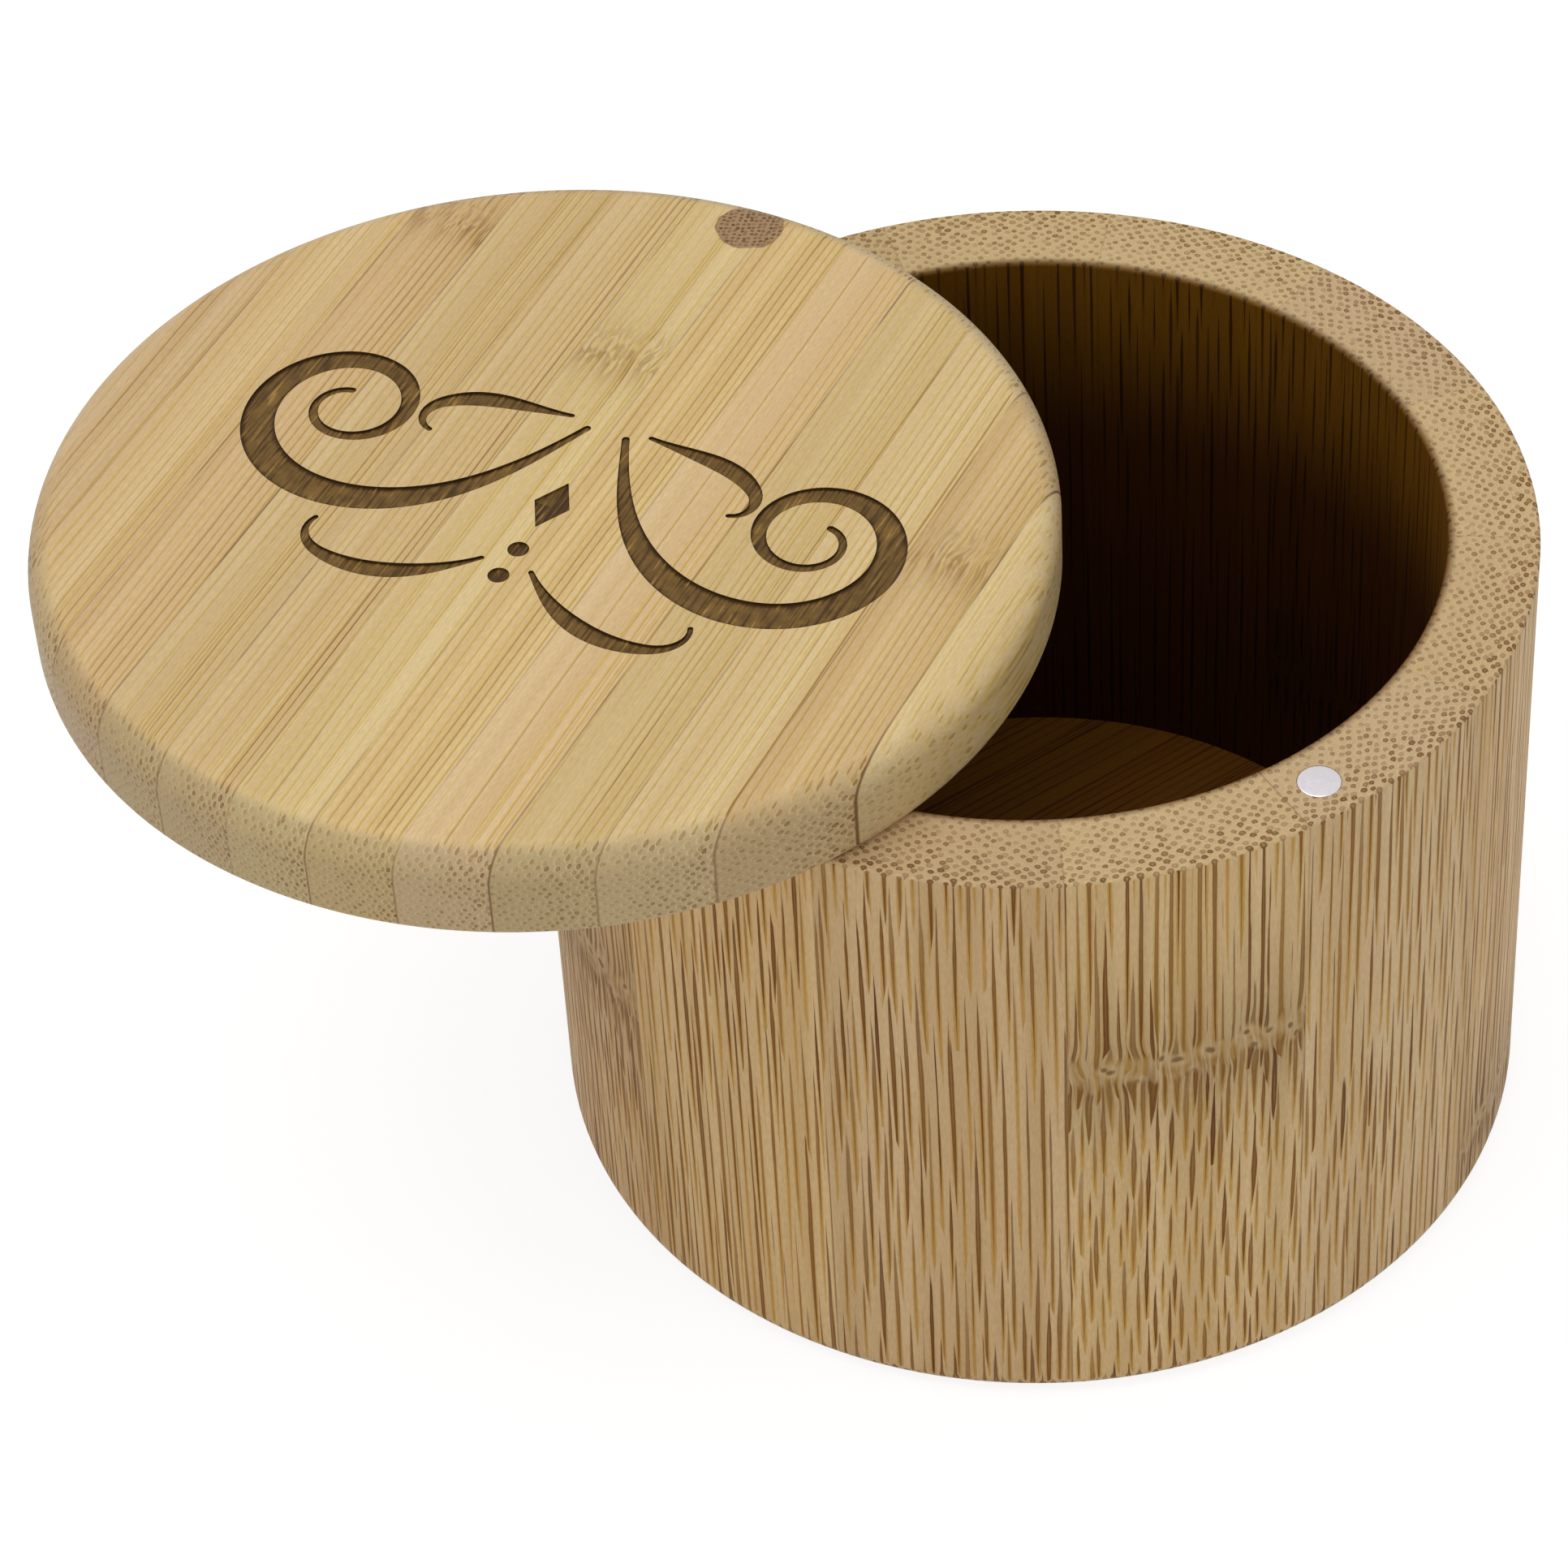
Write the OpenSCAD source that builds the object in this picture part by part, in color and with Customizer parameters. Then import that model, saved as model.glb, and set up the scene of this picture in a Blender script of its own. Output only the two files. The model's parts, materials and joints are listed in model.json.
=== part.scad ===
// A round table box for salt, turned from bamboo. Thirteen upright staves are glued into a ring round a
// floor board. The lid is a board of glued strips that swings sideways on an upright dowel in the back
// of the rim. A magnet in the front of the rim and one under the lid hold it shut.
// The box stands on z = 0, its axis is Z, and the dowel is towards +Y.

/* [Body] */
// Outside diameter of the body
body_d = 89; // [70:0.5:140]
// Height of the body, from its foot to the rim
body_h = 64.5; // [45:0.5:120]
// Thickness of the side wall
wall_t = 8; // [7:0.5:14]
// Number of staves in the ring
stave_count = 13; // [9:1:20]
// Direction of the first glue joint between staves, from +X towards +Y
stave_turn = 69.5; // [0:0.5:90]
// Radius of the rounding round the foot
foot_round = 2.5; // [0.5:0.5:4]
// Radius that the edges of the rim are eased to
rim_round = 0.4; // [0.2:0.1:1]

/* [Floor] */
// Thickness of the floor board
floor_t = 7; // [4:0.5:12]
// How far the floor board is let into the wall
floor_seat = 3; // [1:0.5:3]
// Width of a strip of the floor board
floor_strip_w = 7.2; // [5:0.1:15]

/* [Lid] */
// How far the lid stands out past the wall, all round
lid_overhang = 0.2; // [0:0.1:4]
// Thickness of the lid
lid_t = 8.5; // [6:0.5:14]
// Radius of the rounding round the lid's top edge
lid_top_round = 3; // [0.5:0.5:4]
// Radius of the rounding round the lid's lower edge
lid_foot_round = 1; // [0.2:0.1:1.5]
// Width of a strip of the lid
lid_strip_w = 7.65; // [5:0.05:15]
// How far the lid's middle glue joint lies to the right of its centre
lid_seam_shift = 1.45; // [-3:0.05:3]
// How far the lid is swung open, clockwise from above
lid_open = 62.5; // [0:0.5:180]

/* [Pivot] */
// Diameter of the dowel that the lid turns on
dowel_d = 6; // [4:0.5:6.5]
// Length of the dowel below the rim
dowel_reach = 20; // [10:0.5:35]
// Gap between the dowel and its bore in the rim, all round
dowel_clearance = 0.05; // [0.02:0.01:0.1]
// Air left under the end of the dowel
dowel_end_gap = 1; // [0.5:0.5:3]

/* [Magnets] */
// Diameter of the magnets
magnet_d = 3.8; // [3:0.1:5]
// Thickness of the magnets
magnet_t = 2; // [1:0.5:3]
// Angle round the rim from the dowel to the magnet, counter-clockwise from above
magnet_turn = 178.5; // [150:0.5:210]

/* [Hidden] */
$fn = 180;

bamboo_wall = [0.80, 0.68, 0.47];
bamboo_board = [0.86, 0.76, 0.56];
bamboo_end = [0.62, 0.48, 0.33];
nickel = [0.91, 0.90, 0.92];

body_r = body_d / 2;
well_r = body_r - wall_t;
floor_r = well_r + floor_seat;
lid_r = body_r + lid_overhang;

// The dowel and the magnets sit in the middle of the wall.
pin_circle_r = body_r - wall_t / 2;
stave_step = 360 / stave_count;
bore_depth = dowel_reach + dowel_end_gap;

floor_strip_count = strip_count(floor_r * 2, floor_strip_w);
lid_strip_count = strip_count(lid_r * 2, lid_strip_w);

// Cuts that end in the open run past the surface by this much.
past = 1;

function strip_count(board_w, strip_w) = max(2, round(board_w / strip_w));
function piece_name(kind, number) = str(kind, "_", number < 10 ? "0" : "", number);
function numbered(kind, count) = [for (number = [1:count]) piece_name(kind, number)];

// Place of a glue joint across a board. The outermost strips run out to the edge of the board.
function seam_at(number, count, strip_w) = (number - count / 2) * strip_w;
function strip_low(number, count, strip_w, edge) =
    number == 1 ? -edge : seam_at(number - 1, count, strip_w);
function strip_high(number, count, strip_w, edge) =
    number == count ? edge : seam_at(number, count, strip_w);

// Half section of a disc or wall from r_in to r_out and from z = 0 to h. Its outer corners are rounded to
// low_r at the bottom and high_r at the top, and its inner top corner to in_r.
module half_section(r_in, r_out, h, low_r, high_r, in_r = 0) {
    difference() {
        translate([r_in, 0])
            square([r_out - r_in, h]);
        translate([r_out - high_r, h - high_r])
            outside_of_corner(high_r);
        translate([r_out - low_r, low_r])
            rotate(-90)
                outside_of_corner(low_r);
        if (in_r > 0)
            translate([r_in + in_r, h - in_r])
                rotate(90)
                    outside_of_corner(in_r);
    }
}

// What a rounding of radius r takes off a corner that points towards +X and +Y
module outside_of_corner(r) {
    difference() {
        square(r + past);
        circle(r);
    }
}

// The rim's own bore for the dowel and pocket for the magnet
module rim_cuts() {
    translate([0, pin_circle_r, body_h - bore_depth])
        cylinder(r = dowel_d / 2 + dowel_clearance, h = bore_depth + past);
    at_magnet()
        translate([0, 0, body_h - magnet_t])
            cylinder(d = magnet_d, h = magnet_t + past);
}

module at_magnet() {
    rotate(90 + magnet_turn)
        translate([pin_circle_r, 0, 0])
            children();
}

// Swings the closed lid open about the dowel.
module swung_open() {
    translate([0, pin_circle_r, 0])
        rotate(-lid_open)
            translate([0, -pin_circle_r, 0])
                children();
}

module stave(number) {
    color(bamboo_wall)
        difference() {
            rotate(stave_turn + (number - 1) * stave_step)
                rotate_extrude(angle = stave_step)
                    difference() {
                        half_section(well_r, body_r, body_h, foot_round, rim_round, rim_round);
                        translate([well_r - past, -past])
                            square([floor_seat + past, floor_t + past]);
                    }
            rim_cuts();
        }
}

module floor_strip(number) {
    low = strip_low(number, floor_strip_count, floor_strip_w, floor_r + past);
    high = strip_high(number, floor_strip_count, floor_strip_w, floor_r + past);
    color(bamboo_board)
        intersection() {
            cylinder(r = floor_r, h = floor_t);
            translate([-floor_r - past, low, -past])
                cube([2 * (floor_r + past), high - low, floor_t + 2 * past]);
        }
}

module rim_magnet() {
    color(nickel)
        at_magnet()
            translate([0, 0, body_h - magnet_t])
                cylinder(d = magnet_d, h = magnet_t);
}

module lid_strip(number) {
    edge = lid_r + past;
    low = max(-edge, lid_seam_shift + strip_low(number, lid_strip_count, lid_strip_w, 2 * edge));
    high = min(edge, lid_seam_shift + strip_high(number, lid_strip_count, lid_strip_w, 2 * edge));
    color(bamboo_board)
        swung_open()
            difference() {
                intersection() {
                    translate([0, 0, body_h])
                        rotate_extrude()
                            half_section(0, lid_r, lid_t, lid_foot_round, lid_top_round);
                    translate([low, -edge, body_h - past])
                        cube([high - low, 2 * edge, lid_t + 2 * past]);
                }
                translate([0, pin_circle_r, body_h - past])
                    cylinder(d = dowel_d, h = lid_t + 2 * past);
                at_magnet()
                    translate([0, 0, body_h - past])
                        cylinder(d = magnet_d, h = magnet_t + past);
            }
}

module lid_magnet() {
    color(nickel)
        swung_open()
            at_magnet()
                translate([0, 0, body_h])
                    cylinder(d = magnet_d, h = magnet_t);
}

// What is turned off the end of the dowel together with the lid's top edge
module lid_edge_cut() {
    translate([0, 0, body_h])
        rotate_extrude()
            translate([lid_r - lid_top_round, lid_t - lid_top_round])
                outside_of_corner(lid_top_round);
}

module pivot_dowel() {
    color(bamboo_end)
        difference() {
            translate([0, pin_circle_r, body_h - dowel_reach])
                cylinder(d = dowel_d, h = dowel_reach + lid_t);
            swung_open()
                lid_edge_cut();
        }
}

for (number = [1:stave_count])
    stave(number);
for (number = [1:floor_strip_count])
    floor_strip(number);
rim_magnet();
for (number = [1:lid_strip_count])
    lid_strip(number);
lid_magnet();
pivot_dowel();
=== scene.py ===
"""Looks of a round bamboo table box for salt. Its lid swings sideways on an upright dowel.

The packed CAD model gives every shape and place, in metres. This script gives it bamboo with real strands,
burns a scroll into the lid, eases the magnets' edges and sets a plain stage round it.
"""

import json
import math

import bmesh
import bpy
from mathutils import Matrix, Vector


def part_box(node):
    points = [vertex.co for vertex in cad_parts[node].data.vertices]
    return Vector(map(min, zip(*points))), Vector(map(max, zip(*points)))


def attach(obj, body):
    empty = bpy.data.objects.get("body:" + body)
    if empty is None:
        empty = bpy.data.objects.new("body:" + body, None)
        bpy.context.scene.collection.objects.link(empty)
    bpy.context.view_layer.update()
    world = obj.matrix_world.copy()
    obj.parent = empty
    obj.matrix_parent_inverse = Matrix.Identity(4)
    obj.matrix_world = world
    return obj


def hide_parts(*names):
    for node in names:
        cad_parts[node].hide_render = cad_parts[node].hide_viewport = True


bl_info = {
    "name": "Bamboo salt box",
    "version": (1, 0, 0),
    "blender": (4, 5, 0),
    "location": "3D View > Sidebar > Salt box",
    "description": "Bamboo, burnt scroll, magnets and stage for a round salt box",
    "category": "Object",
}

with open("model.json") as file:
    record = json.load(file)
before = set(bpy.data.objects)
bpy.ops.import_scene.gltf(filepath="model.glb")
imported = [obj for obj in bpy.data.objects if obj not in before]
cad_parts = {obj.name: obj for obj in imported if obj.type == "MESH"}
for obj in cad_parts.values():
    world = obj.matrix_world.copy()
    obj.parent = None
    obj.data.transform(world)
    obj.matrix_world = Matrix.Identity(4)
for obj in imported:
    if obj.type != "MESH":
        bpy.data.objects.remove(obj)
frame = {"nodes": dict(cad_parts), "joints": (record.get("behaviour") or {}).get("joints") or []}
bpy.context.view_layer.update()

MM = 0.001
PIVOT = Vector(frame["joints"][0]["pos_m"])

# For nodes: an eased Map Range, and a Mix of colours with its output
SMOOTH = {"interpolation_type": "SMOOTHSTEP"}
IN_COLOUR = {"data_type": "RGBA", "out": 2}
FLAT = Vector((1, 1, 0))
CENTRED = (0.5, 0.5, 0.5)

# A board's strips are numbered from its middle joint, and this keeps the numbers above 0.
MIDDLE_STRIP = 100

# Nodes of the cane: the number of the piece, the place along it and the half width, both in mm
WALL_NODES = ((6, 41.5, 2.6), (3, 33, 3), (8, 8, 2.5), (10, 22, 2.6), (0, 47, 2.4))
LID_NODES = ((MIDDLE_STRIP - 4, 32, 2.2), (MIDDLE_STRIP - 1, 21, 2.6), (MIDDLE_STRIP + 4, 8, 2.6))

# Strands. Spacing is in mm, and Girth is half a strand's width as a share of it. Where a strand is cut along,
# Stretch is its depth as a share of its width. Where it is cut across, Dot is how much wider it is. Wander is
# in mm. Lean is how fast a strand leaves the surface. Thirst is how much oil the end grain drinks. Raw is 1
# for the coarse outer cane and less for a planed board, whose strands come and go and whose nodes are faint.
WALL_STRANDS = dict(
    Spacing=0.9, Girth=0.21, Stretch=2.9, Dot=1.75, Wander=(0.8, 1.7, 0),
    Lean=0.036, Thirst=0.1, Raw=1, Seed=3784,
)
FLOOR_STRANDS = dict(
    Spacing=0.8, Girth=0.42, Stretch=0.5, Dot=0.8, Wander=(0.8, 1.2, 0),
    Lean=0.01, Thirst=0.2, Raw=1, Seed=0,
)
LID_STRANDS = dict(
    Spacing=0.66, Girth=0.45, Stretch=0.4, Dot=0.7, Wander=(0.4, 0.8, 0),
    Lean=0.008, Thirst=0.2, Raw=0.2, Seed=2807,
)
DOWEL_STRANDS = dict(
    Spacing=0.55, Girth=0.27, Stretch=2, Dot=1.3, Wander=(0.3, 0.3, 0),
    Lean=0, Thirst=0.1, Raw=1, Seed=0,
)

# Scroll, all in mm: its centre on the lid, half axes of the lozenge, place of the first bead and the step to
# the next along the lid, and how far its cutter stands out of the lid
SCROLL_CENTRE = (1.25, -0.5)
LOZENGE = (1.7, 3.1)
FIRST_BEAD = -6.2
BEAD_STEP = -3.6
CUTTER_ABOVE = 0.5

# Magnets: how far their edges are eased, in mm, and in how many steps
EASE = 0.15
EASE_STEPS = 6

# Stage: half the side of its floor in m, how brightly the paper glows, and how much light the sky gives
FLOOR_HALF = 3.0
PAPER_GLOW = 0.85
SKY_LEVEL = 0.36
WHITE = (1, 1, 1, 1)

# Softboxes: name, place in m, side in m and power in W. They face the middle of the box.
SOFTBOXES = (
    ("top softbox", (-0.15, 0.1, 0.9), 0.7, 3.5),
    ("front softbox", (-0.75, -0.75, 0.55), 0.6, 1.9),
    ("side softbox", (0.8, -0.5, 0.5), 0.5, 0.6),
)
BOX_MIDDLE = Vector((0, 0, 0.04))

# The photograph's camera: place in m, turn in degrees, lens in mm
CAMERA_PLACE = (-0.22855, -0.29926, 0.39722)
CAMERA_TURN = (46.0117, 2.6002, -36.4191)
CAMERA_LENS = 131.71


def srgb(code):
    """Linear RGBA of an sRGB hex value."""
    channels = [int(code[place : place + 2], 16) / 255 for place in (1, 3, 5)]
    linear = [c / 12.92 if c <= 0.04045 else ((c + 0.055) / 1.055) ** 2.4 for c in channels]
    return (*linear, 1.0)


def colour(name, description, code):
    return bpy.props.FloatVectorProperty(
        name=name, description=description, size=4, subtype="COLOR", min=0, max=1, default=srgb(code)
    )


def in_mm(name, description, default, **limits):
    return bpy.props.FloatProperty(name=name, description=description + ", in mm", default=default, **limits)


class BoxSizes(bpy.types.PropertyGroup):
    """Sizes that the grain and the glue joints follow. They repeat those of the CAD model."""

    wall_radius: in_mm("Body radius", "Outside radius of the wall", 44.5, min=1)
    wall_thickness: in_mm("Wall thickness", "Thickness of the wall", 8, min=1)
    rim_height: in_mm("Rim height", "Height of the rim over the foot", 64.5, min=1)
    stave_count: bpy.props.IntProperty(name="Staves", description="Staves in the ring", default=13, min=3)
    stave_turn: bpy.props.FloatProperty(
        name="First joint", description="Direction of the first glue joint, in degrees", default=69.5
    )
    floor_strip: in_mm("Floor strip", "Width of a strip of the floor board", 7.2, min=1)
    lid_strip: in_mm("Lid strip", "Width of a strip of the lid", 7.65, min=1)
    lid_shift: in_mm("Lid joint shift", "How far the lid's middle joint lies off its centre", 1.45)
    lid_thickness: in_mm("Lid thickness", "Thickness of the lid", 8.5, min=1)
    lid_overhang: in_mm("Lid overhang", "How far the lid stands out past the wall", 0.2, min=0)
    lid_top_round: in_mm("Lid top rounding", "Radius round the lid's top edge", 3, min=0.1)
    lid_foot_round: in_mm("Lid foot rounding", "Radius round the lid's lower edge", 1, min=0.1)
    lid_open: bpy.props.FloatProperty(
        name="Lid open",
        description="How far the lid is swung open, clockwise from above",
        default=math.radians(62.5),
        subtype="ANGLE",
    )
    dowel_radius: in_mm("Dowel radius", "Radius of the pivot dowel", 3, min=0.5)


class BambooColours(bpy.types.PropertyGroup):
    """Colours of the bamboo as it was cut, before light falls on it"""

    lid_ground: colour("Lid", "Pith between the strands of the lid", "#E5C896")
    lid_ground_dark: colour("Lid, darker", "Darker bands of the lid", "#DABA86")
    lid_halo: colour("Lid halo", "Yellow margin along a strand of the lid", "#D9B560")
    lid_strand: colour("Lid strand", "Strand of the lid", "#8C5A2C")
    wall_ground: colour("Wall", "Pith between the strands of the wall", "#E3C290")
    wall_ground_dark: colour("Wall, darker", "Darker bands of the wall", "#D6B37F")
    wall_halo: colour("Wall halo", "Yellow margin along a strand of the wall", "#C6953F")
    wall_strand: colour("Wall strand", "Strand of the wall", "#643408")
    # Painted shade inside the box: these three colours darken the inside of the wall, less just below the
    # rim, and the top of the floor board
    well: colour("Well", "Painted shade on the inside of the wall", "#4A2E06")
    well_top: colour("Well, top", "Lighter painted shade on the inside of the wall near the rim", "#86681C")
    well_floor: colour("Well floor", "Painted shade on the top of the floor board", "#825F0A")
    dowel_ground: colour("Dowel", "Pith of the dowel", "#BC9C74")
    dowel_strand: colour("Dowel strand", "Strand of the dowel", "#6B4526")
    glue: colour("Glue joint", "Dried glue in a joint", "#7A5634")
    scar: colour("Node", "Brown of a node of the cane", "#8C5C24")
    burn: colour("Burn", "Floor of the burnt scroll", "#74572A")
    burn_gold: colour("Burn, golden", "Streaks along the grain in the burnt scroll", "#A98648")
    char: colour("Char", "Charred edge of the burnt scroll", "#3B2509")


class ScrollSizes(bpy.types.PropertyGroup):
    """The scroll that is burnt into the lid"""

    depth: in_mm("Depth", "Depth of the burnt line", 0.25, min=0.05, max=1)
    beads: bpy.props.IntProperty(name="Beads", description="Dots below the lozenge", default=2, min=0, max=4)
    bead_radius: in_mm("Bead radius", "Radius of a dot", 0.95, min=0.2, max=2)


def add(tree, kind, values=(), operation=None, out=0, **settings):
    """Adds a node with its settings, links or sets its inputs, and returns its output `out`. A list links
    each of its sockets to one input. Shader nodes are named without their prefix."""
    known = kind.startswith(("Geometry", "Function", "NodeGroup"))
    node = tree.nodes.new(kind if known else "ShaderNode" + kind)
    if operation:
        settings["operation"] = operation
    for name, value in settings.items():
        setattr(node, name, value)
    for key, value in values.items() if isinstance(values, dict) else enumerate(values):
        for item in value if isinstance(value, list) else [value]:
            if isinstance(item, bpy.types.NodeSocket):
                tree.links.new(item, node.inputs[key])
            else:
                node.inputs[key].default_value = item
    return node.outputs[out] if node.outputs else None


def chain(tree, kind, value, *steps):
    """Passes a value through nodes of one kind. A step is a node's operation and the rest of its inputs."""
    for operation, *others in steps:
        value = add(tree, kind, (value, *others), operation)
    return value


def sockets(tree, way, kind, *names):
    """Declares named sockets of one kind on a node group."""
    for name in names:
        tree.interface.new_socket(name, in_out=way, socket_type="NodeSocket" + kind)


def put(name, data):
    """Adds an object to the scene."""
    made = bpy.data.objects.new(name, data)
    bpy.context.scene.collection.objects.link(made)
    return made


def result_of(piece):
    """The mesh that an object's modifiers give"""
    depsgraph = bpy.context.evaluated_depsgraph_get()
    return bpy.data.meshes.new_from_object(piece.evaluated_get(depsgraph))


def swung_open():
    """Turns the shut lid about the dowel to where it stands at rest."""
    turn = Matrix.Rotation(-bpy.context.scene.salt_box_sizes.lid_open, 4, "Z")
    return Matrix.Translation(PIVOT) @ turn @ Matrix.Translation(-PIVOT)


# ---------------------------------------------------------------------------------------------------------
# Bamboo. Strands run along the cane. Cut across they are dots, and cut along they are lines that taper out
# where they leave the surface. One solid pattern gives both, so a line on the wall starts at a dot on the
# rim. Places are in mm: across the strip, out through the cane, along it.


def ripple(tree, place, per_mm, detail, out=0):
    """A slow change from place to place. Per_mm is how fast it goes in each direction."""
    stretched = add(tree, "VectorMath", (place, per_mm), "MULTIPLY")
    return add(tree, "TexNoise", {"Vector": stretched, "Scale": 1, "Detail": detail}, out=out)


def wander(tree, given, place, lots):
    """Strands wander slowly, lean outwards and are pushed about at a node of the cane."""
    slow = ripple(tree, place, (0.06, 0.06, 0.022), 1, out=1)
    slow = chain(tree, "VectorMath", slow, ("SUBTRACT", CENTRED), ("MULTIPLY", given["Wander"]))
    quick = ripple(tree, place, (0.5, 0.3, 0.22), 0, out=1)
    quick = add(tree, "VectorMath", (quick, CENTRED), "SUBTRACT")
    push = add(tree, "Math", (given["Node"], 1.5), "MULTIPLY")
    quick = add(tree, "VectorMath", {0: quick, "Scale": push}, "SCALE")
    moved = chain(tree, "VectorMath", place, ("ADD", slow), ("ADD", quick))
    across, out, along = add(tree, "SeparateXYZ", (moved,)).node.outputs
    true_along = add(tree, "SeparateXYZ", (given["Place"],), out=2)
    lean = chain(tree, "Math", lots[2], ("MULTIPLY_ADD", 0.6, 0.7), ("MULTIPLY", given["Lean"]))
    out = chain(tree, "Math", given["Bend"], ("MULTIPLY_ADD", 1.2, true_along), ("MULTIPLY_ADD", lean, out))
    crowd = add(tree, "Math", (given["Outward"], 0.2, 1), "MULTIPLY_ADD")
    out = add(tree, "Math", (out, crowd), "MULTIPLY")
    return moved, across, out, along


def strand_cells(tree, given, across, out):
    """One cell for each strand, in rows that are offset by half a step. Gives its middle, its lots and how
    far off its middle a point is, with the spacing as 1."""
    per_mm = add(tree, "Math", (1, given["Spacing"]), "DIVIDE")
    cells = add(tree, "CombineXYZ", (across, out, 0))
    cells = add(tree, "VectorMath", {0: cells, "Scale": per_mm}, "SCALE")
    row_turn, flat_turn = math.radians(45), {"rotation_type": "Z_AXIS"}
    cells = add(tree, "VectorRotate", {"Vector": cells, "Angle": row_turn}, **flat_turn)
    uneven = {"Vector": cells, "Scale": 1, "Randomness": 0.45}
    cell = add(tree, "TexVoronoi", uneven, voronoi_dimensions="2D").node.outputs
    cell_lots = add(tree, "SeparateColor", (cell["Color"],)).node.outputs
    off = add(tree, "VectorMath", (cells, cell["Position"]), "SUBTRACT")
    off = add(tree, "VectorRotate", {"Vector": off, "Angle": -row_turn}, **flat_turn)
    return cell["Position"], cell_lots, add(tree, "SeparateXYZ", (off,)).node.outputs


def strand_size(tree, given, centre, along, near, alike):
    """Half width and half depth of a strand, as shares of the spacing. It swells and thins along its run."""
    centre = add(tree, "VectorMath", (centre, (7.3, 7.3, 0)), "MULTIPLY")
    far = add(tree, "Math", (along, 0.03), "MULTIPLY")
    far = add(tree, "CombineXYZ", (0, 0, far))
    centre = add(tree, "VectorMath", (centre, far), "ADD")
    swell = add(tree, "TexNoise", {"Vector": centre, "Scale": 1, "Detail": 0})
    swell = add(tree, "MapRange", (swell, 0.3, 0.7, 0.55, 1.35))
    swell = add(tree, "Mix", {0: alike, 2: swell, 3: 1.0})
    wide = add(tree, "Math", (given["Outward"], 0.3, 0.8), "MULTIPLY_ADD")
    dot = add(tree, "Mix", {0: given["Crosscut"], 2: 1.0, 3: given["Dot"]})
    swollen = add(tree, "Math", (given["Smear"], 0.3, 1), "MULTIPLY_ADD")
    swollen = add(tree, "Math", (near, 0.35, swollen), "MULTIPLY_ADD")
    for times in (swell, dot, swollen, given["Girth"]):
        wide = add(tree, "Math", (wide, times), "MULTIPLY")
    stretch = add(tree, "Mix", {0: given["Crosscut"], 2: given["Stretch"], 3: 1.15})
    return wide, add(tree, "Math", (wide, stretch), "MULTIPLY")


def strand_reach(tree, given, off, wide, deep):
    """How far out a point is in its strand, 1 at the edge. Cut along, a strand ends in a needle. Also how far
    it is from the middle, and how far outwards."""
    u = add(tree, "Math", (off[0], wide), "DIVIDE")
    v = add(tree, "Math", (off[1], deep), "DIVIDE")
    u_size = add(tree, "Math", (u,), "ABSOLUTE")
    v_size = add(tree, "Math", (v,), "ABSOLUTE")
    needle = add(tree, "Math", (u_size, v_size), "ADD")
    both = add(tree, "CombineXYZ", (u, v, 0))
    disc = add(tree, "VectorMath", (both,), "LENGTH", out=1)
    return add(tree, "Mix", {0: given["Crosscut"], 2: needle, 3: disc}), disc, v


def strand_margin(tree, off, wide, deep):
    """The yellow margin of a strand, wider on its inner side"""
    u_margin = add(tree, "Math", (wide, 1.1, 0.1), "MULTIPLY_ADD")
    v_margin = add(tree, "Math", (deep, 0.9, 0.16), "MULTIPLY_ADD")
    u_off = add(tree, "Math", (off[0], u_margin), "DIVIDE")
    v_off = chain(tree, "Math", deep, ("MULTIPLY_ADD", 0.6, off[1]), ("DIVIDE", v_margin))
    margin = add(tree, "CombineXYZ", (u_off, v_off, 0))
    margin = add(tree, "VectorMath", (margin,), "LENGTH", out=1)
    return add(tree, "MapRange", (margin, 1.1, 0.4, 0, 0.8), **SMOOTH)


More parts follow.
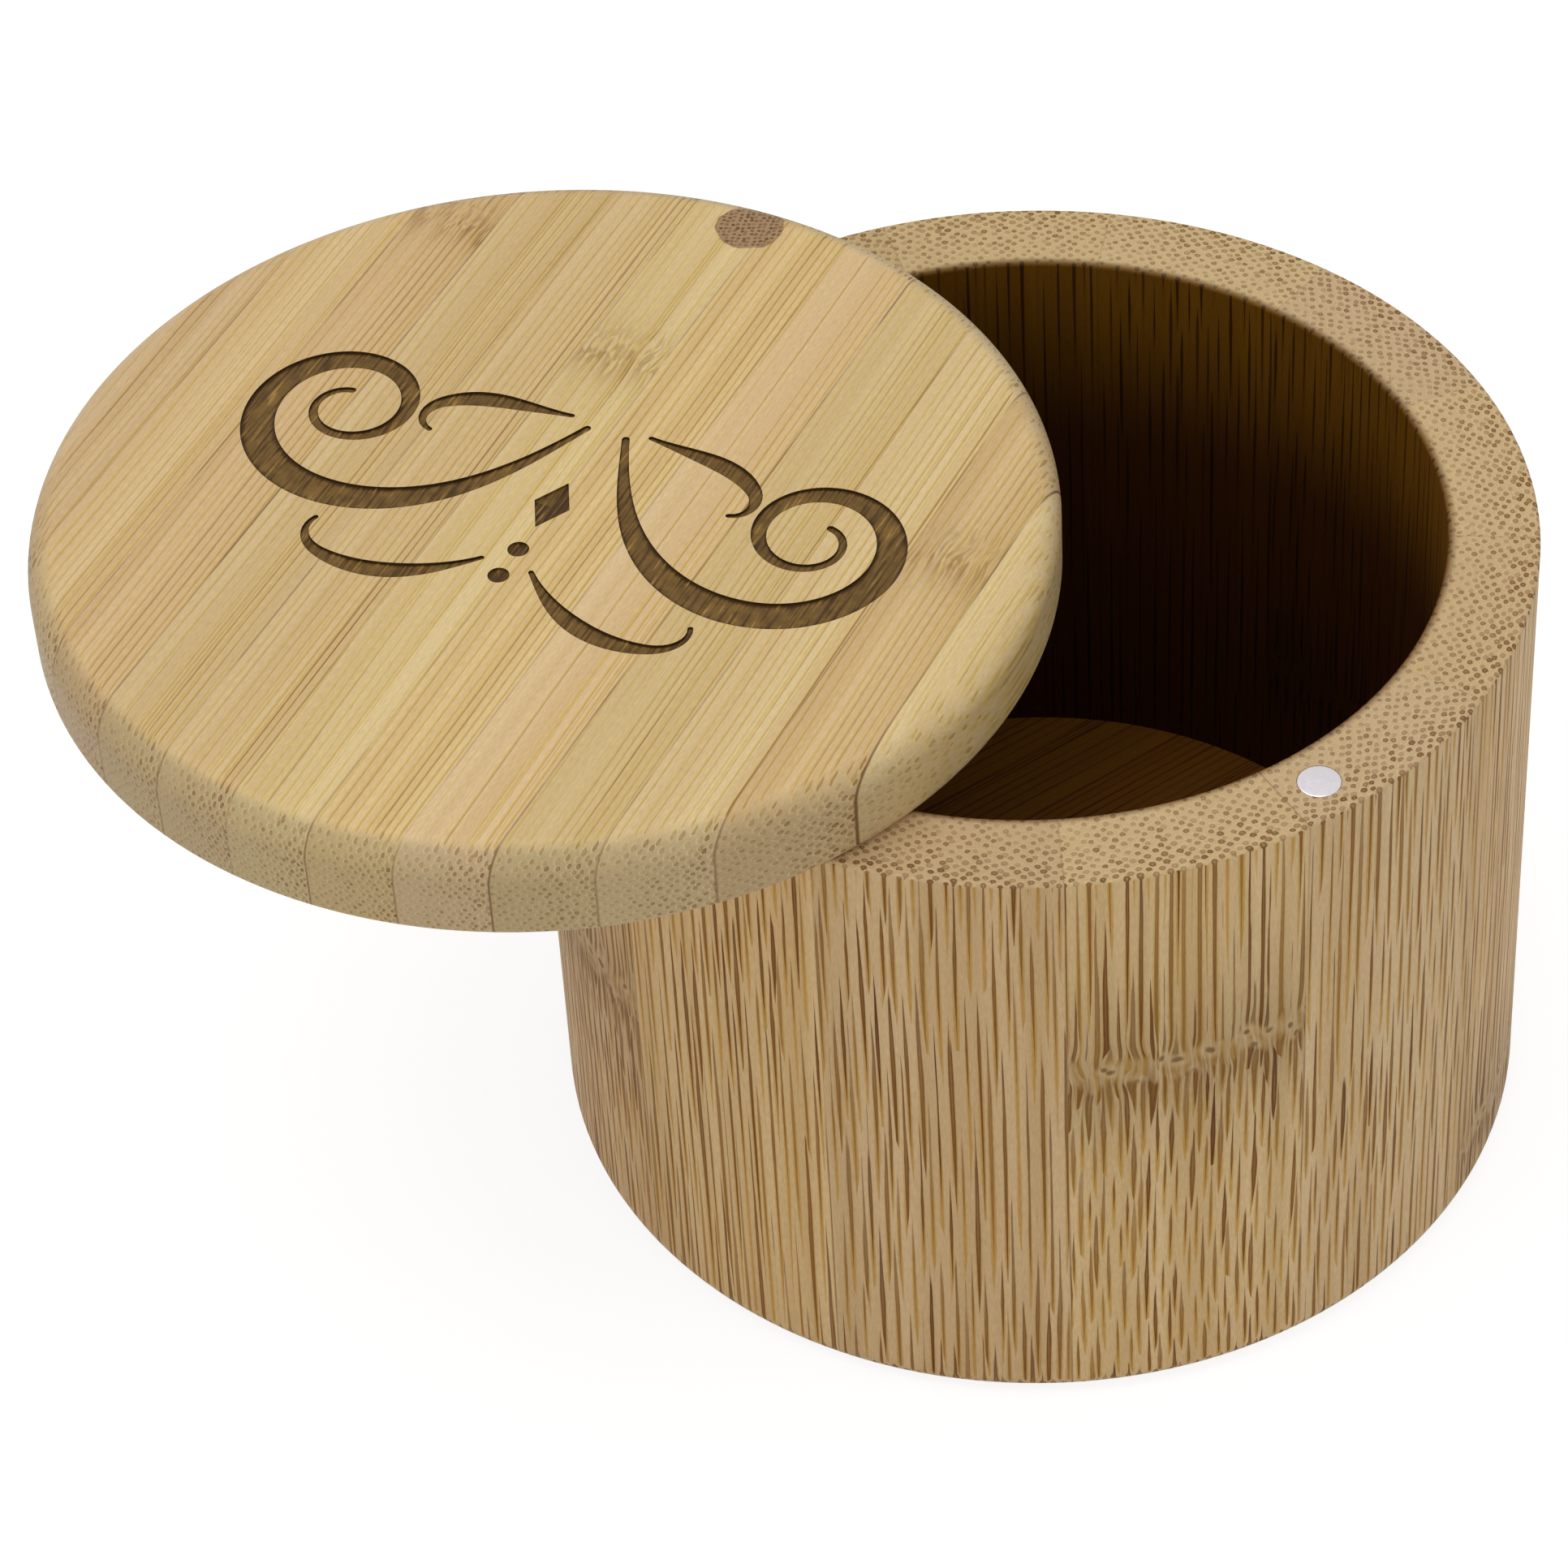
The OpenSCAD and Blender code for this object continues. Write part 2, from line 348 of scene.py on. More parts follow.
def strand_pattern():
    """Node group: the strands in a piece of cane"""
    tree = bpy.data.node_groups.new("Bamboo strands", "ShaderNodeTree")
    sockets(tree, "INPUT", "Vector", "Place", "Wander")
    sockets(tree, "INPUT", "Float", "Piece", "Seed", "Outward", "Crosscut", "Node", "Smear", "Bend", "Near")
    sockets(tree, "INPUT", "Float", "Spacing", "Girth", "Stretch", "Dot", "Lean", "Thirst", "Raw")
    sockets(tree, "INPUT", "Color", "Ground", "Ground dark", "Halo", "Strand", "Scar")
    sockets(tree, "OUTPUT", "Color", "Color")
    sockets(tree, "OUTPUT", "Float", "Height", "Strands")
    given = add(tree, "NodeGroupInput").node.outputs
    piece = add(tree, "Math", (given["Piece"], given["Seed"]), "ADD")
    lot = add(tree, "TexWhiteNoise", {"W": piece}, out=1, noise_dimensions="1D")
    shift = add(tree, "VectorMath", (lot, (90, 0, 400)), "MULTIPLY")
    place = add(tree, "VectorMath", (given["Place"], shift), "ADD")
    lots = add(tree, "SeparateColor", (lot,)).node.outputs

    moved, across, out, along = wander(tree, given, place, lots)
    centre, cell_lots, off = strand_cells(tree, given, across, out)
    alike = add(tree, "Math", (given["Crosscut"], 0.7), "MULTIPLY")
    near = add(tree, "Math", (given["Near"], given["Raw"]), "MULTIPLY")
    wide, deep = strand_size(tree, given, centre, along, near, alike)
    reach, disc, v = strand_reach(tree, given, off, wide, deep)

    # A strand's outer side frays into fibres, and its middle is paler.
    fray = ripple(tree, moved, (5, 5, 0.1), 0)
    outer = add(tree, "MapRange", (v, -0.3, 0.9, 0.25, 1.9))
    fray = add(tree, "Math", (fray, 0.42), "SUBTRACT")
    ragged = add(tree, "Math", (given["Crosscut"], -0.5, 1), "MULTIPLY_ADD")
    outer = add(tree, "Math", (outer, ragged), "MULTIPLY")
    reach = add(tree, "Math", (fray, outer, reach), "MULTIPLY_ADD")
    strand = add(tree, "MapRange", (reach, 1.02, 0.76, 0, 1), **SMOOTH)
    core = add(tree, "MapRange", (disc, 0.42, 0.1, 0, 0.3), **SMOOTH)
    ring = chain(tree, "Math", 1, ("SUBTRACT", core), ("MULTIPLY", strand))
    dark = add(tree, "MapRange", (cell_lots[0], 0, 1, 0.45, 1.05))
    depth = add(tree, "MapRange", (given["Outward"], 0, 1, 0.6, 1.1))
    band_core = add(tree, "MapRange", (given["Node"], 0.6, 0.92, 0, 1), **SMOOTH)
    whole = add(tree, "Math", (band_core, -0.9, 1), "MULTIPLY_ADD")

    # Slow bands of tone. On a planed board the strands are pale between them.
    band = ripple(tree, moved, (0.4, 0.4, 0.006), 1)
    band = add(tree, "MapRange", (band, 0.35, 0.65, 0, 1))
    planed = chain(tree, "Math", 1, ("SUBTRACT", given["Raw"]), ("MULTIPLY", ragged))
    pale = chain(tree, "Math", 1, ("SUBTRACT", band), ("MULTIPLY", planed), ("MULTIPLY_ADD", -0.7, 1))
    for times in (depth, whole, pale):
        dark = add(tree, "Math", (dark, times), "MULTIPLY")
    strands = add(tree, "Math", (ring, dark), "MULTIPLY")

    # Pith, then the margins, then the strands. Where they are cut across, all have less colour.
    even = add(tree, "Math", (given["Crosscut"], -0.8, 1), "MULTIPLY_ADD")
    band = add(tree, "Math", (band, even), "MULTIPLY")
    ground = add(tree, "Mix", {0: band, 6: given["Ground"], 7: given["Ground dark"]}, **IN_COLOUR)
    halo = add(tree, "Math", (strand_margin(tree, off, wide, deep), depth), "MULTIPLY")
    margins = {0: given["Crosscut"], 6: given["Halo"], 7: given["Ground"]}
    halo_colour = add(tree, "Mix", margins, **IN_COLOUR)
    painted = add(tree, "Mix", {0: halo, 6: ground, 7: halo_colour}, **IN_COLOUR)
    tint = add(tree, "Math", (cell_lots[1], 0.9), "MULTIPLY")
    tinted = add(tree, "Mix", {0: given["Raw"], 6: given["Halo"], 7: given["Scar"]}, **IN_COLOUR)
    strand_colour = add(tree, "Mix", {0: tint, 6: given["Strand"], 7: tinted}, **IN_COLOUR)
    shaded = add(tree, "VectorMath", (ground, (0.37, 0.275, 0.185)), "MULTIPLY")
    strand_colour = add(tree, "Mix", {0: alike, 6: strand_colour, 7: shaded}, **IN_COLOUR)
    painted = add(tree, "Mix", {0: strands, 6: painted, 7: strand_colour}, **IN_COLOUR)

    # Node of the cane: a row of pores, and a brown smear that runs along the strands
    pore = add(tree, "CombineXYZ", (across, along, 0))
    pore = add(tree, "TexVoronoi", {"Vector": pore, "Scale": 0.4}, voronoi_dimensions="2D")
    smear = ripple(tree, moved, (5, 3, 0.1), 1)
    smear = add(tree, "MapRange", (smear, 0.42, 0.6, 0, 0.5))
    smear = add(tree, "Math", (smear, given["Smear"]), "MULTIPLY")
    eye = add(tree, "MapRange", (pore, 0.19, 0.07, 0, 0.7), **SMOOTH)
    lit = add(tree, "MapRange", (pore, 0.55, 0.2, 0, 0.5), **SMOOTH)
    pored = add(tree, "Math", (band_core, given["Raw"]), "MULTIPLY")
    eye = add(tree, "Math", (eye, pored), "MULTIPLY")
    lit = add(tree, "Math", (lit, pored), "MULTIPLY")
    for share, over in ((smear, given["Scar"]), (lit, given["Ground"]), (eye, given["Strand"])):
        painted = add(tree, "Mix", {0: share, 6: painted, 7: over}, **IN_COLOUR)

    # Tone: a fine felt of cells, each piece its own, darker near a node. End grain drinks more oil between
    # the pale rings round its dots.
    felt = ripple(tree, given["Place"], (7, 7, 1.2), 2)
    tone = add(tree, "MapRange", (felt, 0.25, 0.75, 0.9, 1.1))
    piece_tone = add(tree, "MapRange", (lots[1], 0, 1, 0.9, 1.06))
    near = add(tree, "Math", (near, -0.2, 1), "MULTIPLY_ADD")
    thirst = add(tree, "Math", (given["Crosscut"], given["Thirst"]), "MULTIPLY")
    dry = add(tree, "Math", (1.6, halo), "SUBTRACT")
    thirst = add(tree, "Math", (thirst, dry), "MULTIPLY")
    thirst = add(tree, "Math", (1, thirst), "SUBTRACT")
    for times in (piece_tone, near, thirst):
        tone = add(tree, "Math", (tone, times), "MULTIPLY")
    hue = add(tree, "VectorMath", (lot, (0.05, 0.06, 0.14), (0.975, 0.97, 0.93)), "MULTIPLY_ADD")
    painted = add(tree, "VectorMath", (painted, hue), "MULTIPLY")
    painted = add(tree, "VectorMath", {0: painted, "Scale": tone}, "SCALE")

    height = add(tree, "Math", (strands, -0.6, felt), "MULTIPLY_ADD")
    height = add(tree, "Math", (eye, -1.5, height), "MULTIPLY_ADD")
    add(tree, "NodeGroupOutput", {"Color": painted, "Height": height, "Strands": strands})
    return tree


def crosscut(tree, grain):
    """1 where the surface cuts the strands across, 0 where it runs along them. Grain is their direction."""
    facing = add(tree, "TexCoord", out="Normal")
    facing = add(tree, "VectorMath", (facing, grain), "DOT_PRODUCT", out=1)
    facing = add(tree, "Math", (facing,), "ABSOLUTE")
    return add(tree, "MapRange", (facing, 0.1, 0.55, 0, 1), **SMOOTH)


def along_spots(tree, spot):
    """The number of a strip, how far across it a point is, and how far from the nearest joint, with the
    strip's width as 1. The spot is a count of strips that runs on across them."""
    number = add(tree, "Math", (spot,), "FLOOR")
    share = add(tree, "Math", (spot,), "FRACT")
    return number, share, add(tree, "Math", (spot, 0.5), "PINGPONG")


def board_place(tree, closed, width, shift, axis, grain):
    """Where a point is in a board of glued strips. Outward is towards the dense side of its strip."""
    axes = add(tree, "SeparateXYZ", (closed,)).node.outputs
    spot = chain(tree, "Math", axes[axis], ("SUBTRACT", shift), ("DIVIDE", width), ("ADD", MIDDLE_STRIP))
    number, share, joint = along_spots(tree, spot)
    out = add(tree, "Math", (share, width), "MULTIPLY")
    joint = add(tree, "Math", (joint, width), "MULTIPLY")
    place = add(tree, "CombineXYZ", (axes[2], out, axes[1 - axis]))
    dense = add(tree, "Math", (share, 1.4), "POWER")
    seen = {"Place": place, "Piece": number, "Outward": dense, "Crosscut": crosscut(tree, grain)}
    return seen | {"joint": joint, "spot": spot, "axes": axes}


def millimetres(tree):
    """Place in the object, in mm"""
    return add(tree, "VectorMath", {0: add(tree, "TexCoord", out="Object"), "Scale": 1 / MM}, "SCALE")


def lid_place(tree):
    """Place in the lid as it lies when it is shut, in mm"""
    sizes = bpy.context.scene.salt_box_sizes
    turn = Matrix.Rotation(sizes.lid_open, 3, "Z")
    home = (PIVOT - turn @ PIVOT) / MM
    to_shut = {"Location": home, "Rotation": (0, 0, sizes.lid_open), "Scale": (1 / MM,) * 3}
    closed = add(tree, "Mapping", {"Vector": add(tree, "TexCoord", out="Object")} | to_shut)
    grain = turn.transposed() @ Vector((0, 1, 0))
    return board_place(tree, closed, sizes.lid_strip, sizes.lid_shift, 0, grain)


def wall_place(tree):
    """Place in a stave, whose strands stand upright: along the wall, out through it, up"""
    sizes = bpy.context.scene.salt_box_sizes
    step = 360 / sizes.stave_count
    axes = add(tree, "SeparateXYZ", (millimetres(tree),)).node.outputs
    angle = chain(tree, "Math", axes[1], ("ARCTAN2", axes[0]), ("DEGREES",), ("SUBTRACT", sizes.stave_turn))
    spot = chain(tree, "Math", angle, ("DIVIDE", step), ("FLOORED_MODULO", sizes.stave_count))
    number, share, joint = along_spots(tree, spot)
    flat = add(tree, "CombineXYZ", (axes[0], axes[1], 0))
    radius = add(tree, "VectorMath", (flat,), "LENGTH", out=1)
    swing = chain(tree, "Math", share, ("SUBTRACT", 0.5), ("MULTIPLY", math.radians(step)))
    sine = add(tree, "Math", (swing,), "SINE")
    cosine = add(tree, "Math", (swing,), "COSINE")
    across = add(tree, "Math", (radius, sine), "MULTIPLY")
    well_radius = sizes.wall_radius - sizes.wall_thickness
    out = add(tree, "Math", (radius, cosine, -well_radius), "MULTIPLY_ADD")
    outward = add(tree, "Math", (out, sizes.wall_thickness), "DIVIDE", use_clamp=True)
    joint = chain(tree, "Math", joint, ("MULTIPLY", radius), ("MULTIPLY", math.radians(step)))
    place = add(tree, "CombineXYZ", (across, out, axes[2]))
    seen = {"Place": place, "Piece": number, "Outward": outward, "Crosscut": crosscut(tree, (0, 0, 1))}
    return seen | {"joint": joint, "spot": spot, "radius": radius, "axes": axes}


def glued(tree, place, painted, seed, faint, fade=1.0):
    """Glue joints: thin brown lines, some strong and some faint, which come and go along their length"""
    nearest = chain(tree, "Math", place["spot"], ("ROUND",), ("ADD", seed))
    strength = add(tree, "TexWhiteNoise", {"W": nearest}, noise_dimensions="1D")
    strength = add(tree, "MapRange", (strength, 0, 1, faint, 0.95))
    along = add(tree, "SeparateXYZ", (place["Place"],), out=2)
    along = add(tree, "Math", (nearest, 9.7, along), "MULTIPLY_ADD")
    gap = add(tree, "TexNoise", {"W": along, "Scale": 0.07, "Detail": 1}, noise_dimensions="1D")
    gap = add(tree, "MapRange", (gap, 0.35, 0.6, 0.3, 1))
    strength = add(tree, "Math", (strength, gap), "MULTIPLY")
    strength = add(tree, "Math", (strength, fade), "MULTIPLY", use_clamp=True)
    line = add(tree, "MapRange", (place["joint"], 0.14, 0.03, 0, 1), **SMOOTH)
    line = add(tree, "Math", (line, strength), "MULTIPLY")
    glue = bpy.context.scene.salt_box_colours.glue
    return add(tree, "Mix", {0: line, 6: painted, 7: glue}, **IN_COLOUR)


def new_material(name):
    """A material without nodes, and its tree"""
    made = bpy.data.materials.new(name)
    made.use_nodes = True
    made.node_tree.nodes.clear()
    return made, made.node_tree


def wood_surface(tree, painted, height, roughness, relief=0.4):
    """Sanded bamboo with a little oil: satin, with the strands standing out a few hundredths of a mm"""
    bump = add(tree, "Bump", {"Strength": relief, "Distance": 0.00006, "Height": height})
    gloss = add(tree, "MapRange", (height, 0, 1, roughness + 0.08, roughness - 0.08))
    shine = {"Roughness": gloss, "IOR": 1.5, "Specular IOR Level": 0.2, "Normal": bump}
    surface = add(tree, "BsdfPrincipled", {"Base Color": painted} | shine)
    add(tree, "OutputMaterial", {"Surface": surface})


def tones(kind):
    """The colours of the strands of one kind of piece, and of what lies between them"""
    colours = bpy.context.scene.salt_box_colours
    names = {"Ground": "ground", "Ground dark": "ground_dark", "Halo": "halo", "Strand": "strand"}
    return {name: getattr(colours, f"{kind}_{ending}") for name, ending in names.items()}


def strands(tree, place, shape, colours, nodes=None):
    """The strands of one kind of piece"""
    own = {name: place[name] for name in ("Place", "Piece", "Outward", "Crosscut")}
    own["Scar"] = bpy.context.scene.salt_box_colours.scar
    group = bpy.data.node_groups.get("Bamboo strands") or strand_pattern()
    return add(tree, "Group", own | shape | colours | (nodes or {}), node_tree=group).node.outputs


def cane_nodes(tree, place, spots):
    """Where nodes of the cane cross the pieces, their smears, how near one is, and how far below it"""
    found = dict.fromkeys(("Node", "Smear", "Near", "Bend"), 0.0)
    wavy = ripple(tree, place["Place"], (0.5, 0.5, 0), 1)
    wavy = add(tree, "Math", (wavy, 0.5), "SUBTRACT")
    along = add(tree, "SeparateXYZ", (place["Place"],), out=2)
    along = add(tree, "Math", (wavy, 5, along), "MULTIPLY_ADD")
    for number, where, half in spots:
        own = add(tree, "Math", (place["Piece"], number, 0.1), "COMPARE")
        bells = {"Node": (where, half), "Smear": (where - 0.6 * half, 1.2 * half), "Near": (where, 4 * half)}
        for name, (middle, wide) in bells.items():
            off = chain(tree, "Math", along, ("SUBTRACT", middle), ("DIVIDE", wide))
            off = chain(tree, "Math", off, ("MULTIPLY", off), ("MULTIPLY", -1))
            bell = add(tree, "Math", (off,), "EXPONENT")
            found[name] = add(tree, "Math", (bell, own, found[name]), "MULTIPLY_ADD")
        below = chain(tree, "Math", along, ("SUBTRACT", where), ("MINIMUM", 0))
        found["Bend"] = add(tree, "Math", (below, own, found["Bend"]), "MULTIPLY_ADD")
    return found


def wall_bamboo():
    """Bamboo staves, turned and sanded. End grain shows on the rim, upright strands on the wall."""
    colours = bpy.context.scene.salt_box_colours
    sizes = bpy.context.scene.salt_box_sizes
    made, tree = new_material("bamboo staves, turned and oiled, with painted shade inside")
    place = wall_place(tree)
    nodes = cane_nodes(tree, place, WALL_NODES)
    grain = strands(tree, place, WALL_STRANDS, tones("wall"), nodes)
    # The joints show less towards the rim.
    fade = add(tree, "MapRange", (place["axes"][2], 28, 52, 1, 0.4))
    fade = add(tree, "Math", (place["Crosscut"], 0.1, fade), "MULTIPLY_ADD")
    painted = glued(tree, place, grain["Color"], seed=30, faint=0.25, fade=fade)
    # Painted shade on the inside: it darkens from just below the rim downwards, and its strands show darker
    # still.
    well_radius = sizes.wall_radius - sizes.wall_thickness
    inside = add(tree, "MapRange", (place["radius"], well_radius + 1, well_radius, 0, 1), **SMOOTH)
    depth = add(tree, "Math", (sizes.rim_height, place["axes"][2]), "SUBTRACT")
    depth = add(tree, "MapRange", (depth, 2, 22, 0, 1), **SMOOTH)
    # Painted shade, lighter just below the rim and darker further down
    oil = add(tree, "Mix", {0: depth, 6: colours.well_top, 7: colours.well}, **IN_COLOUR)
    shade = add(tree, "Mix", {0: 1, 6: painted, 7: oil}, **IN_COLOUR, blend_type="MULTIPLY")
    line = add(tree, "MapRange", (grain["Strands"], 0.04, 0.3, 1, 0.4))
    shade = add(tree, "VectorMath", {0: shade, "Scale": line}, "SCALE")
    painted = add(tree, "Mix", {0: inside, 6: painted, 7: shade}, **IN_COLOUR)
    wood_surface(tree, painted, grain["Height"], roughness=0.55)
    return made


def floor_bamboo():
    """Board of bamboo strips in the bottom of the well, darkened by oil"""
    strip = bpy.context.scene.salt_box_sizes.floor_strip
    made, tree = new_material("bamboo board, oiled, floor, with painted shade on top")
    place = board_place(tree, millimetres(tree), strip, -strip / 2, 1, (1, 0, 0))
    grain = strands(tree, place, FLOOR_STRANDS, tones("wall"))
    painted = glued(tree, place, grain["Color"], seed=60, faint=0.2)
    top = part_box("floor_strip_01")[1][2] / MM
    up = add(tree, "MapRange", (place["axes"][2], top - 0.2, top - 0.05, 0, 1))
    # Painted shade over the top of the board
    oiled = {0: 1, 6: painted, 7: bpy.context.scene.salt_box_colours.well_floor}
    shade = add(tree, "Mix", oiled, **IN_COLOUR, blend_type="MULTIPLY")
    painted = add(tree, "Mix", {0: up, 6: painted, 7: shade}, **IN_COLOUR)
    wood_surface(tree, painted, grain["Height"], roughness=0.6)
    return made


def lid_grain(tree):
    """Place and strands in the lid"""
    place = lid_place(tree)
    return place, strands(tree, place, LID_STRANDS, tones("lid"), cane_nodes(tree, place, LID_NODES))


def lid_bamboo():
    """Board of bamboo strips, sanded smooth and oiled: fine lines on its top, dots round its edge"""
    colours = bpy.context.scene.salt_box_colours
    sizes = bpy.context.scene.salt_box_sizes
    made, tree = new_material("bamboo board, sanded and oiled, lid")
    place, grain = lid_grain(tree)
    fade = add(tree, "Math", (place["Crosscut"], 0.4, 0.85), "MULTIPLY_ADD")
    painted = glued(tree, place, grain["Color"], seed=11, faint=0.5, fade=fade)
    # Glue that came up round the dowel
    flat = add(tree, "CombineXYZ", (place["axes"][0], place["axes"][1], 0))
    centre = (PIVOT.x / MM, PIVOT.y / MM, 0)
    reach = add(tree, "VectorMath", (flat, centre), "DISTANCE", out=1)
    blot = add(tree, "TexNoise", {"Vector": flat, "Scale": 0.5, "Detail": 2})
    blot = add(tree, "MapRange", (blot, 0.4, 0.7, 0.1, 0.42))
    smear = chain(tree, "Math", blot, ("ADD", sizes.dowel_radius), ("SUBTRACT", reach))
    smear = add(tree, "MapRange", (smear, 0, 0.15, 0, 0.75))
    painted = add(tree, "Mix", {0: smear, 6: painted, 7: colours.glue}, **IN_COLOUR)
    wood_surface(tree, painted, grain["Height"], roughness=0.5)
    return made


def burnt_bamboo():
    """Bamboo burnt by a hot beam: brown, charred along the edges, with golden streaks along the grain"""
    colours = bpy.context.scene.salt_box_colours
    made, tree = new_material("bamboo, burnt")
    place, grain = lid_grain(tree)
    axes = place["axes"]
    streak = add(tree, "Math", (axes[1], 0.06), "MULTIPLY")
    streak = add(tree, "CombineXYZ", (axes[0], streak, 0))
    streak = add(tree, "TexNoise", {"Vector": streak, "Scale": 3.2, "Detail": 2})
    across = add(tree, "UVMap", uv_map="burn")
    across = add(tree, "SeparateXYZ", (across,), out=1)
    # 0 at either edge of the stroke, 1 in its middle. The strands make the edge ragged.
    inward = add(tree, "Math", (across, 0.5), "PINGPONG")
    inward = chain(tree, "Math", streak, ("SUBTRACT", 0.5), ("MULTIPLY_ADD", 0.35, inward))
    inward = add(tree, "MapRange", (inward, 0.02, 0.18, 0, 1), **SMOOTH)
    pale = add(tree, "MapRange", (streak, 0.36, 0.52, 0.25, 1))
    pale = add(tree, "Math", (inward, pale), "MULTIPLY")
    gold = add(tree, "MapRange", (streak, 0.62, 0.7, 0, 0.8))
    gold = add(tree, "Math", (gold, inward), "MULTIPLY")
    blotch = add(tree, "TexNoise", {"Vector": place["Place"], "Scale": 0.9, "Detail": 3})
    blotch = add(tree, "MapRange", (blotch, 0.3, 0.7, 0.75, 1.3))
    painted = add(tree, "Mix", {0: pale, 6: colours.char, 7: colours.burn}, **IN_COLOUR)
    painted = add(tree, "Mix", {0: gold, 6: painted, 7: colours.burn_gold}, **IN_COLOUR)
    painted = add(tree, "VectorMath", {0: painted, "Scale": blotch}, "SCALE")
    wood_surface(tree, painted, grain["Height"], roughness=0.65, relief=0.6)
    return made


def dowel_bamboo():
    """Bamboo rod, cut across: close dark dots"""
    colours = bpy.context.scene.salt_box_colours
    made, tree = new_material("bamboo rod, end grain")
    place = {"Place": millimetres(tree), "Piece": 7.0, "Outward": 1.0, "Crosscut": crosscut(tree, (0, 0, 1))}
    pith = dict.fromkeys(("Ground", "Ground dark", "Halo"), colours.dowel_ground)
    grain = strands(tree, place, DOWEL_STRANDS, pith | {"Strand": colours.dowel_strand})
    wood_surface(tree, grain["Color"], grain["Height"], roughness=0.6)
    return made


def nickel():
    """Nickel plating on a small magnet: bright grey with a soft sheen"""
    made, tree = new_material("nickel plating, satin")
    scratch = add(tree, "TexNoise", {"Vector": millimetres(tree), "Scale": 3, "Detail": 4})
    gloss = add(tree, "MapRange", (scratch, 0.3, 0.7, 0.28, 0.42))
    metal = {"Base Color": srgb("#CFCACE"), "Metallic": 1.0, "Roughness": gloss}
    surface = add(tree, "BsdfPrincipled", metal)
    add(tree, "OutputMaterial", {"Surface": surface})
    return made


def dress(nodes, material):
    """Gives CAD nodes their finish."""
    for name in nodes:
        for slot in frame["nodes"][name].material_slots:
            slot.material = material


def named(kind):
    """The names of the CAD nodes of one kind"""
    return sorted(name for name in frame["nodes"] if name.startswith(kind))


# ---------------------------------------------------------------------------------------------------------
# The burnt scroll


def stroke(start, heading, bends, thin, thick, swell):
    """Points and widths of a pen stroke in mm. Each bend is a length and its curvature at either end."""
    x, y = start
    angle = math.radians(heading)
    whole = sum(length for length, _, _ in bends)
    points, run = [], 0.0
    for length, bend_from, bend_to in bends:
        steps = round(length / 0.5)
        for step in range(steps):
            points.append((x, y, run / whole))
            share = (step + 0.5) / steps
            angle += (bend_from + (bend_to - bend_from) * share) * length / steps
            x += math.cos(angle) * length / steps
            y += math.sin(angle) * length / steps
            run += length / steps
    points.append((x, y, 1.0))
    drawn = []
    for x, y, share in points:
        half = share / swell / 2 if share < swell else 0.5 + (share - swell) / (1 - swell) / 2
        drawn.append((x, y, thin + (thick - thin) * math.sin(math.pi * half) ** 1.6))
    # Round ends
    for end, inner in ((0, 1), (-1, -2)):
        start, after = Vector(drawn[end]), Vector(drawn[inner])
        away = (start - after) * FLAT
        cap = []
        for turn in (25, 50, 70, 85):
            spot = start + away.normalized() * start.z / 2 * math.sin(math.radians(turn))
            spot.z = start.z * math.cos(math.radians(turn))
            cap.append(tuple(spot))
        drawn = cap[::-1] + drawn if end == 0 else drawn + cap
    return drawn


def scroll_strokes():
    """The right half of the scroll, in mm from its centre. The left half is its mirror image."""
    horn = ((14, 0, 0.053), (28.5, 0.053, 0.121), (24.7, 0.121, 0.232), (9.5, 0.232, 0.42))
    leaf = ((6, 0.03, -0.02), (6, -0.05, -0.16), (4.5, -0.3, -0.62))
    tail = ((8, 0.03, 0.08), (7, 0.08, 0.1), (5, 0.16, 0.5))
    return (
        stroke((1.9, 10.2), -66, horn, 0.7, 3.2, 0.36),
        stroke((3.9, 11.2), -8, leaf, 0.5, 1.9, 0.5),
        stroke((2.4, -8.4), -46, tail, 0.5, 1.9, 0.45),
    )


def burn_across(tree, mesh, across):
    """Stores how far across the stroke a corner is, for the material: 0 and 1 at its edges"""
    across = add(tree, "CombineXYZ", (0, across, 0))
    values = {"Geometry": mesh, "Name": "burn", "Value": across}
    return add(tree, "GeometryNodeStoreNamedAttribute", values, data_type="FLOAT2", domain="CORNER")


